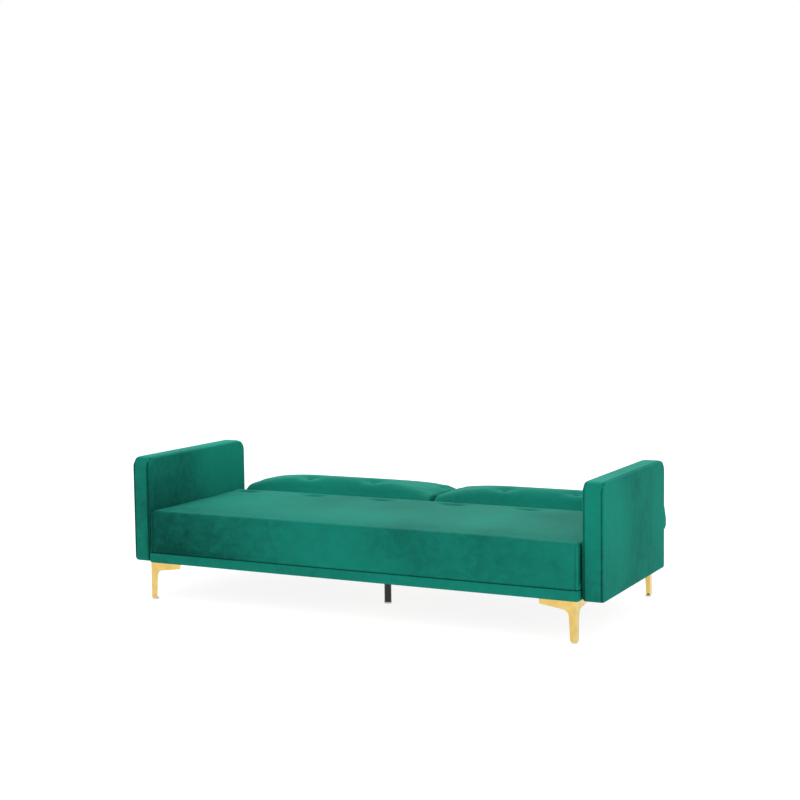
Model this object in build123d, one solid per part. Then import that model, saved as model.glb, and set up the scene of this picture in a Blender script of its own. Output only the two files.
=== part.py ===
from build123d import *
import math
import os

# Three-seat click-clack sofa bed, laid flat as a bed. Millimetres, +Z up.
# The origin is under the middle of the whole object, on the floor.
# The front of the seat faces -Y. Left and right are as seen from the front, so left is -X.

# ---------------------------------------------------------------- driving dimensions
overall_width = 2040.0        # over both arms
bed_depth = 1066.0            # seat front to the far edge of the lowered back
arm_height = 583.0            # floor to the top of the arm
arm_thickness = 76.0
arm_depth = 727.0
seat_depth = 708.0            # seat front to the crease
base_depth = 885.0            # seat front to the rear of the low base that carries the rear legs
seat_proud = 20.0             # the seat stands this far in front of the arms
leg_height = 150.0            # floor to the underside of the leg plates
side_gap = 6.0                # upholstery to arm
centre_gap = 6.0              # between the two halves of the back
crease_gap = 2.0              # seat or back to the plane of the hinge pins

rail_height = 109.0           # timber of the seat box
rail_thickness = 30.0
centre_rail_width = 44.0
foam_thickness = 102.4        # seat cushion, above the felt deck
border_thickness = 14.0       # padded cloth over the timber
band_height = 37.0            # narrow band under the seat seam
seam_gap = 2.0
foam_corner = 15.0            # plan radius of the seat's front corners
seat_front_radius = 24.0

webbing_width = 50.0
webbing_thickness = 2.5
webbing_count = 12
clip_length = 16.0
clip_thickness = 1.5
deck_thickness = 3.0
sheet_thickness = 1.5         # dust cover and back cover

back_thickness = 178.0        # underside of the flat back to its crown
back_frame_height = 52.0
slat_thickness = 12.0
slat_width = 70.0
slat_count = 5
back_far_pad = 30.0           # padding past the far rail

arm_pad = 14.0                # pads on the two faces, and the border round the edge
arm_top_front_radius = 40.0
arm_top_rear_radius = 50.0
arm_bottom_front_radius = 18.0
arm_board_height = 100.0      # lower board that the arm bolts pass through
arm_rail = 30.0
arm_post = 50.0

seat_buttons = 6
button_spacing = 335.0
seat_button_setback = 108.0   # from the seat's rear edge
back_button_reach = 98.0      # from the hinge axis to the back's buttons
back_button_offsets = (312.0, 635.0)
button_radius = 14.0
button_height = 7.0
dimple_radius = 40.0
seat_dimple_depth = 12.0
back_dimple_depth = 16.0

hinge_drop = 37.0             # seat top down to the hinge axis
hinge_plate = 4.0
hinge_space = 14.0            # width kept free for plates and pin heads
plate_gap = 1.0               # between the moving arm and the bracket
boss_radius = 12.0
pin_radius = 4.0
pin_head_radius = 7.0
pin_head = 2.0
running_clearance = 0.06      # radial, pin to moving bore
pin_head_gap = 0.4
pawl_pin_radius = 2.5
pawl_pin_head = 5.0
pawl_boss_radius = 6.0
pawl_reach = 36.0             # pawl pivot below the hinge axis
pawl_setback = 24.0           # pawl pivot in front of the hinge axis
pawl_clearance = 0.9          # pawl tip to the rim in the flat position
notch_depth = 2.5
notch_angles = (0.0, 40.0, 75.0)   # back angles at which the ratchet catches

bolt_radius = 4.0
bolt_head_radius = 6.5
bolt_head = 4.0
bolt_clearance = 0.05
arm_bolt_length = 120.0
arm_bolt_height = 220.0
spacer_radius = 12.0
screw_radius = 2.5
screw_head_radius = 4.5
screw_head = 2.0
screw_length = 28.0

leg_plate = 3.0               # plate and web thickness
leg_flange = 143.0            # length of each web at the top
leg_tip = 18.0                # depth of the web at its tip
leg_root = 34.0               # depth of the web where it meets the post
leg_fillet = 28.0
leg_foot_fillet = 4.0
leg_post_top = 30.0
leg_post_foot = 24.0
leg_inset = 8.0               # leg corner inside the seat's end face
leg_setback = 2.0             # leg corner behind the seat's front face
leg_plate_size = 72.0
leg_screw_inset = 28.0
glide_height = 6.0
glide_size = 20.0
centre_leg_radius = 14.0
centre_leg_wall = 1.5
centre_leg_plate = 80.0
centre_leg_setback = 328.0    # from the seat front

# ---------------------------------------------------------------- places worked out
sides = {"left": -1, "right": 1}
y_front = -bed_depth / 2
y_far = bed_depth / 2
arm_front = y_front + seat_proud
arm_rear = arm_front + arm_depth
arm_out = overall_width / 2
arm_in = arm_out - arm_thickness
seat_half = arm_in - side_gap
seat_rear = y_front + seat_depth
pivot_y = seat_rear + crease_gap

rail_bottom = leg_height + leg_plate
rail_top = rail_bottom + rail_height
band_top = rail_bottom + band_height
border_bottom = band_top + seam_gap
webbing_top = rail_top + webbing_thickness
deck_bottom = webbing_top + clip_thickness + 0.3
cushion_bottom = deck_bottom + deck_thickness + 0.3
seat_height = cushion_bottom + foam_thickness
pivot_z = seat_height - hinge_drop
rail_front = y_front + border_thickness
rail_rear = seat_rear - border_thickness
base_rear = y_front + base_depth
base_rail_rear = base_rear - border_thickness

arm_plate_out = hinge_plate                     # offsets measured from the back's end rail
bracket_in = hinge_plate + plate_gap
bracket_out = bracket_in + hinge_plate
back_rail_out = seat_half - border_thickness - hinge_space
back_rail_in = centre_gap / 2 + border_thickness + hinge_space
seat_rail_out = back_rail_out + bracket_in
pocket_in = -(pin_head + pin_head_gap + 1.0)
pocket_out = hinge_space - 0.5

back_near = pivot_y + crease_gap
back_top = seat_height + 52.0
back_bottom = back_top - back_thickness
back_frame_bottom = back_bottom + sheet_thickness + 1.5
back_frame_top = back_frame_bottom + back_frame_height
back_cushion_bottom = back_frame_top + 0.5
back_rail_near = back_near + border_thickness
back_rail_far = y_far - back_far_pad

seat_button_y = seat_rear - seat_button_setback
back_button_y = pivot_y + back_button_reach
leg_corner_x = seat_half - leg_inset
leg_front_y = y_front + leg_setback
leg_rear_y = base_rear - leg_setback
centre_leg_y = y_front + centre_leg_setback

nodes = {}


# ---------------------------------------------------------------- helpers
def keep(name, *solids):
    """File the solids of one piece, or of one group of like pieces, under a name."""
    nodes.setdefault(name, []).extend(solids)


def block(x, y, z):
    """A box between two corners, each given as (low, high) along its axis in any order."""
    spans = [sorted(pair) for pair in (x, y, z)]
    size = [high - low for low, high in spans]
    middle = [(high + low) / 2 for low, high in spans]
    return Pos(*middle) * Box(*size)


def rod_x(radius, x, y, z):
    """A cylinder along X from x[0] to x[1]."""
    low, high = sorted(x)
    return Pos((low + high) / 2, y, z) * Rot(0, 90, 0) * Cylinder(radius, high - low)


def rod_z(radius, z, x, y):
    """A cylinder along Z from z[0] to z[1]."""
    low, high = sorted(z)
    return Pos(x, y, (low + high) / 2) * Cylinder(radius, high - low)


def slab_x(points, radii, x):
    """A closed (y, z) outline with rounded corners, drawn out from x[0] to x[1]."""
    low, high = sorted(x)
    outline = FilletPolyline(*points, radius=radii, close=True)
    face = make_face(Plane.YZ * outline)
    return Pos(low, 0, 0) * extrude(face, amount=high - low, dir=(1, 0, 0))


def slab_z(points, radii, z):
    """A closed (x, y) outline with rounded corners, drawn up from z[0] to z[1]."""
    face = make_face(FilletPolyline(*points, radius=radii, close=True))
    return Pos(0, 0, z[0]) * extrude(face, amount=z[1] - z[0], dir=(0, 0, 1))


def only_solid(shape):
    """The single solid of a result, so that each node holds plain solids."""
    return shape.solids()[0]


def from_hinge(dy, dz):
    """A point given from the hinge axis, as (y, z)."""
    return (pivot_y + dy, pivot_z + dz)


def hinge_sites():
    """Each hinge as its side name and a function from offset to x. Offset 0 is the end rail."""
    for name, side in sides.items():
        for face, outward in ((back_rail_out, 1), (back_rail_in, -1)):
            yield name, outward, (lambda d, f=face, o=outward, s=side: s * (f + o * d))


# ---------------------------------------------------------------- seat
def seat_plan(z):
    """The seat's outline seen from above, with rounded front corners."""
    points = [(-seat_half, y_front), (seat_half, y_front), (seat_half, seat_rear), (-seat_half, seat_rear)]
    return slab_z(points, [foam_corner, foam_corner, 0, 0], z)


def dimple(x, y, top, depth):
    """The hollow that a pulled button makes: a wide cone with a flat floor."""
    cone = Cone(button_radius + 1, dimple_radius, depth + 1)
    return Pos(x, y, top - (depth - 1) / 2) * cone


def button(x, y, z):
    """A covered button with a domed face."""
    body = rod_z(button_radius, (z, z + button_height), x, y)
    return only_solid(fillet(body.edges().group_by(Axis.Z)[-1], button_height * 0.6))


def bracket_pocket(x_of):
    """Room in the seat's upholstery for one hinge bracket and its pawl."""
    room = [from_hinge(*p) for p in ((14, -160), (14, -8), (-12, 15), (-68, -80), (-156, -82), (-156, -160))]
    return slab_x(room, 0.0, (x_of(pocket_in), x_of(pocket_out)))


def seat_cushion():
    slope = hinge_drop + 21.0
    profile = [
        (y_front, cushion_bottom),
        (seat_rear, cushion_bottom),
        (seat_rear, pivot_z - 23),
        (seat_rear - slope, seat_height),
        (y_front, seat_height),
    ]
    body = slab_x(profile, [0, 0, 8, 45, seat_front_radius], (-seat_half, seat_half))
    body = body & seat_plan((cushion_bottom, seat_height))
    for x in button_places():
        body -= dimple(x, seat_button_y, seat_height, seat_dimple_depth)
        keep("seat_buttons", button(x, seat_button_y, seat_height - seat_dimple_depth))
    for name, outward, x_of in hinge_sites():
        body -= bracket_pocket(x_of)
    keep("seat_cushion", only_solid(body))


def button_places():
    first = -(seat_buttons - 1) / 2 * button_spacing
    return [first + i * button_spacing for i in range(seat_buttons)]


def seat_frame():
    z = (rail_bottom, rail_top)
    inner_front = rail_front + rail_thickness
    inner_rear = rail_rear - rail_thickness
    front = block((-seat_rail_out, seat_rail_out), (rail_front, inner_front), z)
    rear = block((-seat_rail_out, seat_rail_out), (inner_rear, rail_rear), z)
    centre = block((-centre_rail_width / 2, centre_rail_width / 2), (inner_front, inner_rear), z)
    for name, outward, x_of in hinge_sites():
        rear -= bracket_slot(x_of)
        centre -= bracket_holes(x_of, outward)
    for name, side in sides.items():
        inner = seat_rail_out - rail_thickness
        rail = block((side * inner, side * seat_rail_out), (inner_front, inner_rear), z)
        for y in arm_bolt_places():
            rail -= rod_x(bolt_radius + bolt_clearance, (side * (inner - 1), side * (seat_rail_out + 1)), y,
                          arm_bolt_height)
        for hinge_side, outward, x_of in hinge_sites():
            if hinge_side == name and outward > 0:
                rail -= bracket_holes(x_of, outward)
        keep(f"{name}_rail", only_solid(rail))
    keep("front_rail", only_solid(front))
    keep("rear_rail", only_solid(rear))
    keep("centre_rail", only_solid(centre))


def base_rails():
    """Low wrapped rails that carry the rear legs under the back, behind the seat box."""
    z = (rail_bottom, band_top)
    cross = (base_rail_rear - rail_thickness, base_rail_rear)
    for side in sides.values():
        x = (side * (seat_rail_out - rail_thickness), side * seat_rail_out)
        keep("base_rails", block(x, (rail_rear, cross[0]), z))
    keep("base_rails", block((-seat_rail_out, seat_rail_out), cross, z))


def seat_borders():
    """Padded boxing over the timber above the seam, and the narrow band under it."""
    levels = {
        "seat_border": (seat_rear, (border_bottom, cushion_bottom - 0.3)),
        "lower_band": (base_rear, (rail_bottom, band_top)),
    }
    end = seat_rail_out
    for piece, (far, z) in levels.items():
        inner_far = far - border_thickness
        front = seat_plan(z) & block((-seat_half, seat_half), (y_front, rail_front), z)
        rear = block((-seat_half, seat_half), (inner_far, far), z)
        if piece == "seat_border":
            for name, outward, x_of in hinge_sites():
                rear -= bracket_pocket(x_of)
        keep(f"{piece}_front", only_solid(front))
        keep(f"{piece}_rear", *rear.solids())
        for name, side in sides.items():
            pad = block((side * end, side * seat_half), (rail_front, inner_far), z)
            for y in arm_bolt_places():
                pad -= rod_x(spacer_radius + 0.3, (side * (end - 1), side * (seat_half + 1)), y, arm_bolt_height)
            for hinge_side, outward, x_of in hinge_sites():
                if hinge_side == name and outward > 0 and piece == "seat_border":
                    pad -= bracket_pocket(x_of)
            keep(f"{piece}_{name}", only_solid(pad))


def seat_webbing():
    """Elastic belts from the front rail to the rear rail, each held by a clip at both ends."""
    bay = seat_rail_out - rail_thickness
    pitch = 2 * bay / webbing_count
    ends = (rail_front + rail_thickness / 2, rail_rear - rail_thickness / 2)
    for i in range(webbing_count):
        middle = -bay + (i + 0.5) * pitch
        x = (middle - webbing_width / 2, middle + webbing_width / 2)
        y = (ends[0] - clip_length / 2, ends[1] + clip_length / 2)
        keep("seat_webbing", block(x, y, (rail_top, webbing_top)))
        for end in ends:
            clip = (end - clip_length / 2, end + clip_length / 2)
            keep("webbing_clips", block(x, clip, (webbing_top, webbing_top + clip_thickness)))


def seat_deck():
    """The felt sheet that keeps the belts out of the foam."""
    edge = seat_rail_out - 20
    sheet = block((-edge, edge), (rail_front + 4, rail_rear - 4), (deck_bottom, deck_bottom + deck_thickness))
    for name, outward, x_of in hinge_sites():
        sheet -= bracket_pocket(x_of)
    keep("seat_deck", only_solid(sheet))


def dust_cover():
    """Thin cloth that closes the two bays of the seat box from below."""
    inner_x = seat_rail_out - rail_thickness
    y = (rail_front + rail_thickness, rail_rear - rail_thickness)
    z = (rail_bottom + 1, rail_bottom + 1 + sheet_thickness)
    for side in sides.values():
        keep("dust_cover", block((side * centre_rail_width / 2, side * inner_x), y, z))


# ---------------------------------------------------------------- legs
def leg_web():
    """One web of an angle leg: its corner edge on the Z axis, the flange running to +X."""
    points = [
        (0, glide_height),
        (leg_post_foot, glide_height),
        (leg_post_top, rail_bottom - leg_root),
        (leg_flange, rail_bottom - leg_tip),
        (leg_flange, leg_height),
        (0, leg_height),
    ]
    outline = FilletPolyline(*points, radius=[0, leg_foot_fillet, leg_fillet, leg_plate, 0, 0], close=True)
    face = make_face(Plane.XZ * outline)
    return extrude(face, amount=leg_plate, dir=(0, 1, 0))


def leg_places():
    """Each corner leg as its name, its corner point and the signs that turn it inwards."""
    for name, side in sides.items():
        for row, y, inward in (("front", leg_front_y, 1), ("rear", leg_rear_y, -1)):
            yield f"leg_{row}_{name}", side * leg_corner_x, y, -side, inward


def corner_legs():
    web_x = leg_web()
    web_y = Rot(0, 0, 90) * mirror(web_x, about=Plane.XZ)
    level = (leg_height, rail_bottom)
    top = block((0, leg_plate_size), (0, leg_plate_size), level)
    long_x = block((0, leg_flange), (0, leg_plate * 4), level)
    long_y = block((0, leg_plate * 4), (0, leg_flange), level)
    angle = web_x + web_y + top + long_x + long_y
    spots = [(leg_screw_inset, leg_screw_inset), (leg_plate_size - 12, leg_screw_inset),
             (leg_screw_inset, leg_plate_size - 12)]
    for x, y in spots:
        angle -= rod_z(screw_radius + bolt_clearance, (leg_height - 1, rail_bottom + 1), x, y)
    glide = block((1, glide_size + 1), (1, glide_size + 1), (0, glide_height))
    glide = fillet(glide.edges().filter_by(Axis.Z), 3)
    for name, x, y, sx, sy in leg_places():
        keep(name, only_solid(place_leg(angle, x, y, sx, sy)))
        keep("leg_glides", only_solid(place_leg(glide, x, y, sx, sy)))
        for dx, dy in spots:
            keep("leg_screws", wood_screw(x + sx * dx, y + sy * dy, leg_height))


def place_leg(shape, x, y, sx, sy):
    """Mirror a leg that opens to +X +Y so that it opens towards the seat's middle."""
    if sx < 0:
        shape = mirror(shape, about=Plane.YZ)
    if sy < 0:
        shape = mirror(shape, about=Plane.XZ)
    return Pos(x, y, 0) * shape


def wood_screw(x, y, z):
    """A pan-head screw, its head under the plate at z and its shank pointing up."""
    head = rod_z(screw_head_radius, (z - screw_head, z), x, y)
    return only_solid(head + rod_z(screw_radius, (z, z + screw_length), x, y))


def centre_leg():
    y = centre_leg_y
    tube = rod_z(centre_leg_radius, (glide_height, leg_height), 0, y)
    tube -= rod_z(centre_leg_radius - centre_leg_wall, (0, leg_height - leg_plate), 0, y)
    half = centre_leg_plate / 2
    plate = block((-half, half), (y - half, y + half), (leg_height, rail_bottom))
    for dy in (-half + 12, half - 12):
        plate -= rod_z(screw_radius + bolt_clearance, (leg_height - 1, rail_bottom + 1), 0, y + dy)
        keep("leg_screws", wood_screw(0, y + dy, leg_height))
    keep("centre_leg", only_solid(tube + plate))
    cap = rod_z(centre_leg_radius + 1, (0, glide_height), 0, y)
    plug = rod_z(centre_leg_radius - centre_leg_wall, (0, glide_height + 14), 0, y)
    keep("centre_leg_glide", only_solid(cap + plug))


def screw_holes(shape):
    """Clear the timber round every leg screw."""
    for screw in nodes["leg_screws"]:
        c = screw.bounding_box().center()
        shape -= rod_z(screw_radius + bolt_clearance, (leg_height - 1, rail_bottom + screw_length + 1), c.X, c.Y)
    return shape


def drill_rails_for_legs():
    for name in [n for n in nodes if n.endswith("_rail") or n == "base_rails"]:
        nodes[name] = [only_solid(screw_holes(rail)) for rail in nodes[name]]


# ---------------------------------------------------------------- arms
def arm_bolt_places():
    return (y_front + 120.0, y_front + 460.0)


def arm_outline(inset):
    """The arm's side outline, moved inwards by an inset, as points and corner radii."""
    low = leg_height + inset
    top = arm_height - inset
    front = arm_front + inset
    rear = arm_rear - inset
    points = [(front, low), (rear, low), (rear, top), (front, top)]
    radii = [arm_bottom_front_radius, 0, arm_top_rear_radius, arm_top_front_radius]
    return points, [max(r - inset, 0.0) for r in radii]


def arms():
    for name, side in sides.items():
        inner_face = side * arm_in
        inner_core = side * (arm_in + arm_pad)
        outer_core = side * (arm_out - arm_pad)
        outer_face = side * arm_out
        outline, radii = arm_outline(0.0)
        inner_pad = slab_x(outline, radii, (inner_face, inner_core))
        for y in arm_bolt_places():
            inner_pad -= rod_x(spacer_radius + 0.3, (inner_face, inner_core), y, arm_bolt_height)
        keep(f"arm_{name}_inner_pad", only_solid(inner_pad))
        keep(f"arm_{name}_outer_pad", only_solid(slab_x(outline, radii, (outer_core, outer_face))))
        keep(f"arm_{name}_border", *arm_border(outline, radii, (inner_core, outer_core)))
        keep(f"arm_{name}_frame", *arm_frame(side, (inner_core, outer_core)))


def arm_border(outline, radii, x):
    """The padded strip over the front, the top and the rear of an arm, in three lengths."""
    shell = slab_x(outline, radii, x)
    core_points, core_radii = arm_outline(arm_pad)
    core_points[0] = (core_points[0][0], leg_height - 1)
    core_points[1] = (core_points[1][0], leg_height - 1)
    shell -= slab_x(core_points, [0] + core_radii[1:], x)
    top_level = arm_height - arm_top_rear_radius
    top = shell & block(x, (arm_front, arm_rear), (top_level, arm_height))
    front = shell & block(x, (arm_front, arm_front + arm_pad + 1), (leg_height, top_level))
    rear = shell & block(x, (arm_rear - arm_pad - 1, arm_rear), (leg_height, top_level))
    return [only_solid(part) for part in (top, front, rear)]


def arm_frame(side, x):
    """Two posts, a top rail and a deep lower board."""
    points, radii = arm_outline(arm_pad + 0.3)
    front, rear = points[0][0], points[1][0]
    low, top = leg_height + 2, points[2][1]
    limit = slab_x([(front, low), (rear, low), (rear, top), (front, top)], [0] + radii[1:], x)
    board_top = low + arm_board_height
    rail_low = top - arm_rail
    board = block(x, (front, rear), (low, board_top))
    for y in arm_bolt_places():
        board -= rod_x(bolt_radius + bolt_clearance, x, y, arm_bolt_height)
    parts = [
        board,
        block(x, (front, front + arm_post), (board_top, rail_low)),
        block(x, (rear - arm_post, rear), (board_top, rail_low)),
        block(x, (front, rear), (rail_low, top)),
    ]
    return [only_solid(limit & part) for part in parts]


def arm_fixings():
    """Bolts from inside the seat box into the arm, each through a spacer tube."""
    for side in sides.values():
        head = side * (seat_rail_out - rail_thickness)
        tube = (side * seat_rail_out, side * (arm_in + arm_pad))
        for y in arm_bolt_places():
            bolt = hex_bolt(head, -side, arm_bolt_length, y, arm_bolt_height)
            spacer = rod_x(spacer_radius, tube, y, arm_bolt_height)
            spacer -= rod_x(bolt_radius + bolt_clearance, tube, y, arm_bolt_height)
            keep("arm_bolts", bolt)
            keep("arm_spacers", only_solid(spacer))


def hex_bolt(x, outward, length, y, z):
    """A bolt along X whose head stands outward from the face at x."""
    flat = RegularPolygon(bolt_head_radius, 6)
    head = extrude(flat, amount=bolt_head, dir=(0, 0, 1))
    bolt = head + Pos(0, 0, -length / 2) * Cylinder(bolt_radius, length)
    return only_solid(Pos(x, y, z) * Rot(0, 90 * outward, 0) * bolt)


# ---------------------------------------------------------------- click-clack hinges
def bracket_bolt_spots():
    return [from_hinge(dy, -110) for dy in (-132, -72)]


def arm_bolt_spots():
    return [from_hinge(dy, -62) for dy in (72, 132)]


def bracket_holes(x_of, outward):
    """Bolt holes in the timber behind one bracket."""
    reach = (x_of(-20), x_of(bracket_out)) if outward > 0 else (x_of(bracket_in), x_of(30))
    spots = bracket_bolt_spots()
    holes = rod_x(bolt_radius + bolt_clearance, reach, *spots[0])
    return holes + rod_x(bolt_radius + bolt_clearance, reach, *spots[1])


def bracket_slot(x_of):
    """A saw slot in the rear rail for the bracket's neck."""
    x = (x_of(bracket_in - 0.3), x_of(bracket_out + 0.3))
    return block(x, (rail_rear - rail_thickness - 1, rail_rear + 1), (pivot_z - 133, rail_top + 1))


def plate_with_boss(points, radii, radius, x):
    plate = slab_x([from_hinge(*p) for p in points], radii, x)
    return plate + rod_x(radius, x, pivot_y, pivot_z)


def fixed_bracket(x_of, outward):
    """The bracket bolted to the seat box. It carries the hinge pin and the pawl pin."""
    x = (x_of(bracket_in), x_of(bracket_out))
    points = [(9, -8), (-9, 8), (-60, -86), (-150, -90), (-150, -130), (-34, -130)]
    plate = plate_with_boss(points, [0, 0, 12, 10, 10, 12], boss_radius + 1, x)
    plate -= rod_x(pin_radius, x, pivot_y, pivot_z)
    plate -= rod_x(pawl_pin_radius, x, *from_hinge(-pawl_setback, -pawl_reach))
    for spot in bracket_bolt_spots():
        plate -= rod_x(bolt_radius + bolt_clearance, x, *spot)
        if outward > 0:
            keep("hinge_bracket_bolts", hinge_bolt(x_of, bracket_out, -16, spot))
        else:
            keep("hinge_bracket_bolts", hinge_bolt(x_of, bracket_in, 28, spot))
    keep("hinge_brackets", only_solid(plate))


def hinge_bolt(x_of, face, tip, spot):
    """A bolt with its head on a plate's face and its tip in the timber, both as offsets."""
    direction = 1 if x_of(face) > x_of(tip) else -1
    return hex_bolt(x_of(face), direction, abs(x_of(face) - x_of(tip)), *spot)


def pins(x_of):
    """The hinge pin and the pawl pin, both held in the bracket."""
    inner = -pin_head_gap
    shank = rod_x(pin_radius, (x_of(inner), x_of(bracket_out)), pivot_y, pivot_z)
    heads = rod_x(pin_head_radius, (x_of(inner - pin_head), x_of(inner)), pivot_y, pivot_z)
    heads += rod_x(pin_head_radius, (x_of(bracket_out), x_of(bracket_out + pin_head)), pivot_y, pivot_z)
    keep("hinge_pins", only_solid(shank + heads))
    spot = from_hinge(-pawl_setback, -pawl_reach)
    pin = rod_x(pawl_pin_radius, (x_of(inner), x_of(bracket_out)), *spot)
    pin += rod_x(pawl_pin_head, (x_of(inner - pin_head), x_of(inner)), *spot)
    keep("pawl_pins", only_solid(pin))


def moving_arm(name, x_of):
    """The arm bolted to the back's end rail, with ratchet notches round its boss."""
    x = (x_of(0), x_of(arm_plate_out))
    points = [(-8, -8), (8, 9), (58, -40), (150, -44), (150, -80), (30, -80)]
    plate = plate_with_boss(points, [0, 0, 16, 10, 10, 14], boss_radius, x)
    plate -= rod_x(pin_radius + running_clearance, x, pivot_y, pivot_z)
    for angle in notch_angles:
        turn = math.radians(225 - angle)
        spot = from_hinge(boss_radius * math.cos(turn), boss_radius * math.sin(turn))
        plate -= rod_x(notch_depth, x, *spot)
    for spot in arm_bolt_spots():
        plate -= rod_x(bolt_radius + bolt_clearance, x, *spot)
        keep(f"back_{name}_hinge_bolts", hinge_bolt(x_of, arm_plate_out, -22, spot))
    keep(f"back_{name}_hinge_arms", only_solid(plate))


def pawl(name, x_of):
    """The catch that drops into the notches. In the flat position it stands off the rim."""
    x = (x_of(0.3), x_of(arm_plate_out))
    tip = boss_radius + pawl_clearance
    spread = math.radians(4)
    tips = [(tip * math.cos(a), tip * math.sin(a)) for a in
            (math.radians(225) - spread, math.radians(225) + spread)]
    root = (-pawl_setback, -pawl_reach)
    points = [tips[0], (root[0] - 5, root[1] + 3), (root[0] + 4, root[1] - 4), tips[1]]
    lever = slab_x([from_hinge(*p) for p in points], 0.0, x)
    lever += rod_x(pawl_boss_radius, x, *from_hinge(*root))
    lever -= rod_x(pawl_pin_radius + running_clearance, x, *from_hinge(*root))
    keep(f"pawls_{name}", only_solid(lever))


def hinges():
    for name, outward, x_of in hinge_sites():
        fixed_bracket(x_of, outward)
        pins(x_of)
        moving_arm(name, x_of)
        pawl(name, x_of)


# ---------------------------------------------------------------- back, one half each side
def back_pocket(x_of):
    """Room in the back's upholstery for one moving arm, its bolts and the bracket's boss."""
    low = back_bottom - 1 - pivot_z
    room = [(-1, low), (154, low), (154, -36), (66, -30), (20, 18), (-1, 18)]
    cut = slab_x([from_hinge(*p) for p in room], 0.0, (x_of(pocket_in), x_of(pocket_out)))
    return cut


def back_cushion(name, side):
    near, far, base = back_near, y_far, back_cushion_bottom
    profile = [
        (near, base),
        (far, base),
        (far, back_top - 96),
        (far - 90, back_top),
        (near + 118, back_top),
        (near + 38, back_top - 34),
        (near, pivot_z + 15),
    ]
    body = slab_x(profile, [0, 0, 30, 50, 120, 60, 8], (side * centre_gap / 2, side * seat_half))
    for offset in back_button_offsets:
        body -= dimple(side * offset, back_button_y, back_top, back_dimple_depth)
        keep(f"back_{name}_buttons", button(side * offset, back_button_y, back_top - back_dimple_depth))
    for hinge_side, outward, x_of in hinge_sites():
        if hinge_side == name:
            body -= back_pocket(x_of)
    keep(f"back_{name}_cushion", only_solid(body))


def back_border(name, side):
    """The padded sides of the back below its cushion: near, far and two ends."""
    z = (back_bottom, back_cushion_bottom - 0.5)
    inner, outer = side * centre_gap / 2, side * seat_half
    rail_in, rail_out = side * back_rail_in, side * back_rail_out
    near = block((rail_in, rail_out), (back_near, back_rail_near), z)
    round_far = [(back_rail_far, z[0]), (y_far, z[0]), (y_far, z[1]), (back_rail_far, z[1])]
    far = slab_x(round_far, [0, 24, 0, 0], (inner, outer))
    ends = [block((inner, rail_in), (back_near, back_rail_far), z),
            block((rail_out, outer), (back_near, back_rail_far), z)]
    for hinge_side, outward, x_of in hinge_sites():
        if hinge_side == name:
            ends = [end - back_pocket(x_of) for end in ends]
            near = near - back_pocket(x_of)
    keep(f"back_{name}_border", *[only_solid(part) for part in [near, far] + ends])


def back_frame(name, side):
    z = (back_frame_bottom, back_frame_top)
    x = (side * back_rail_in, side * back_rail_out)
    near = block(x, (back_rail_near, back_rail_near + rail_thickness), z)
    far = block(x, (back_rail_far - rail_thickness, back_rail_far), z)
    y = (back_rail_near + rail_thickness, back_rail_far - rail_thickness)
    inner_end = block((x[0], x[0] + side * rail_thickness), y, z)
    outer_end = block((x[1] - side * rail_thickness, x[1]), y, z)
    parts = [near, far, inner_end, outer_end]
    for hinge_side, outward, x_of in hinge_sites():
        if hinge_side == name:
            for spot in arm_bolt_spots():
                hole = rod_x(bolt_radius + bolt_clearance, (x_of(-24), x_of(1)), *spot)
                parts = [part - hole for part in parts]
    keep(f"back_{name}_frame", *[only_solid(part) for part in parts])
    low = back_rail_in + rail_thickness
    pitch = (back_rail_out - rail_thickness - low) / slat_count
    for i in range(slat_count):
        x = low + (i + 0.5) * pitch
        slat = (side * (x - slat_width / 2), side * (x + slat_width / 2))
        keep(f"back_{name}_slats", block(slat, y, (z[1] - slat_thickness, z[1])))


def back_cover(name, side):
    """The thin cloth stapled over the back's underside."""
    x = (side * back_rail_in, side * back_rail_out)
    sheet = block(x, (back_rail_near, back_rail_far), (back_bottom, back_bottom + sheet_thickness))
    keep(f"back_{name}_cover", sheet)


def backs():
    for name, side in sides.items():
        back_cushion(name, side)
        back_border(name, side)
        back_frame(name, side)
        back_cover(name, side)


# ---------------------------------------------------------------- build and write
def build():
    seat_frame()
    base_rails()
    seat_cushion()
    seat_borders()
    seat_webbing()
    seat_deck()
    dust_cover()
    corner_legs()
    centre_leg()
    drill_rails_for_legs()
    arms()
    arm_fixings()
    hinges()
    backs()


def write():
    os.makedirs("parts", exist_ok=True)
    for name, solids in nodes.items():
        shape = solids[0] if len(solids) == 1 else Compound(children=solids)
        export_step(shape, f"parts/{name}.step")
    print(len(nodes), "nodes")


build()
write()
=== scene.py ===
import math
import bmesh
import bpy
import numpy as np
from mathutils import Matrix, Vector


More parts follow.
